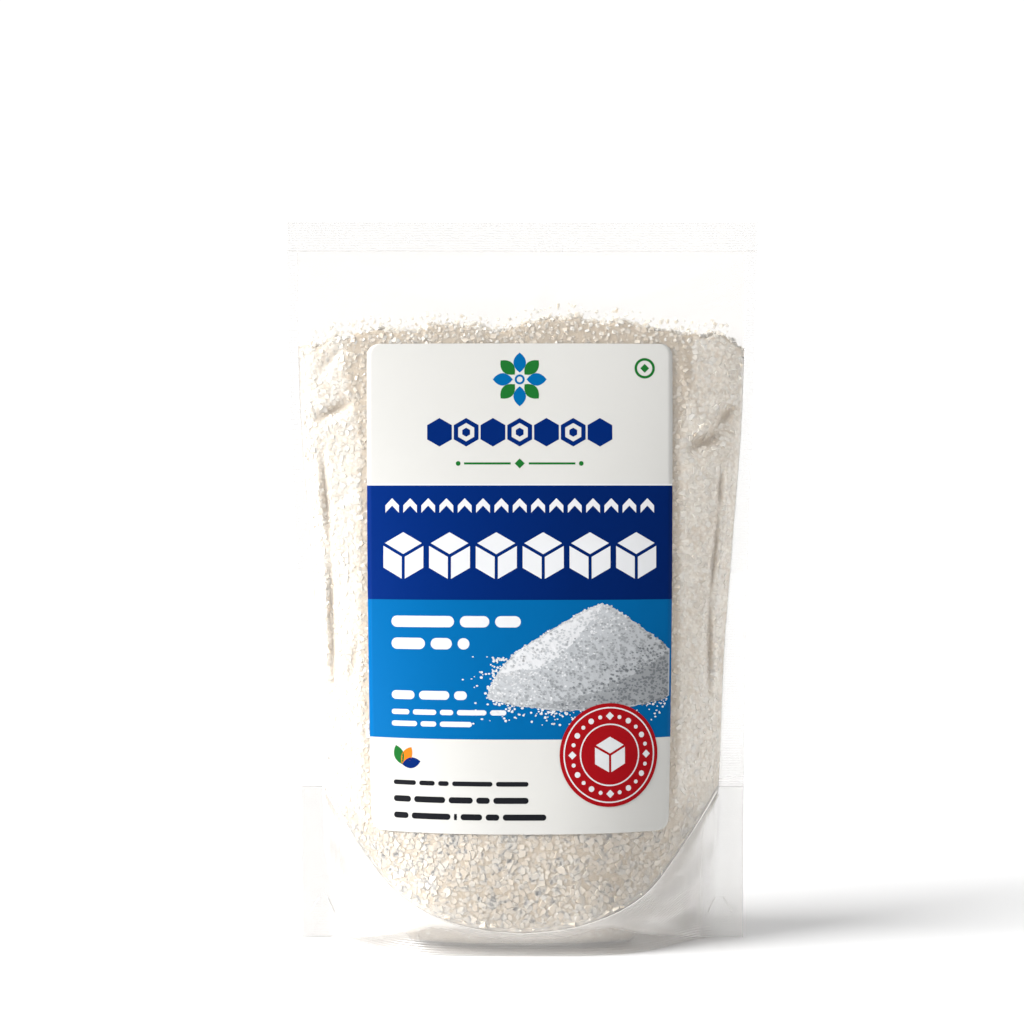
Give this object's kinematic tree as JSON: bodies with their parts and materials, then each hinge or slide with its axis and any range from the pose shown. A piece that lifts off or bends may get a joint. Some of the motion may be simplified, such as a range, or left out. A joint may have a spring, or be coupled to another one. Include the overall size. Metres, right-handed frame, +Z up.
{
  "type": "bag of sugar",
  "caption": "Clear stand-up pouch filled with coarse white sugar, with a flat top seal, a rounded bottom gusset and a label on its front.",
  "frame": {"origin": "centre of the pouch's base, on the surface that it stands on", "axes": "+Z up along the pouch's height, +Y towards the back, so that the labelled front faces -Y, and +X to the right as seen from the front"},
  "size_m": [0.181, 0.08, 0.274],
  "materials": {
    "film": "clear glossy laminated film, frosted and ribbed where it is heat sealed",
    "label": "smooth coated paper sticker, printed in blue and white fields with a red disc",
    "sugar": "translucent coarse sugar crystals with bright facets"
  },
  "bodies": {
    "root": {"pouch": "film", "label": "label"}
  },
  "joints": []
}
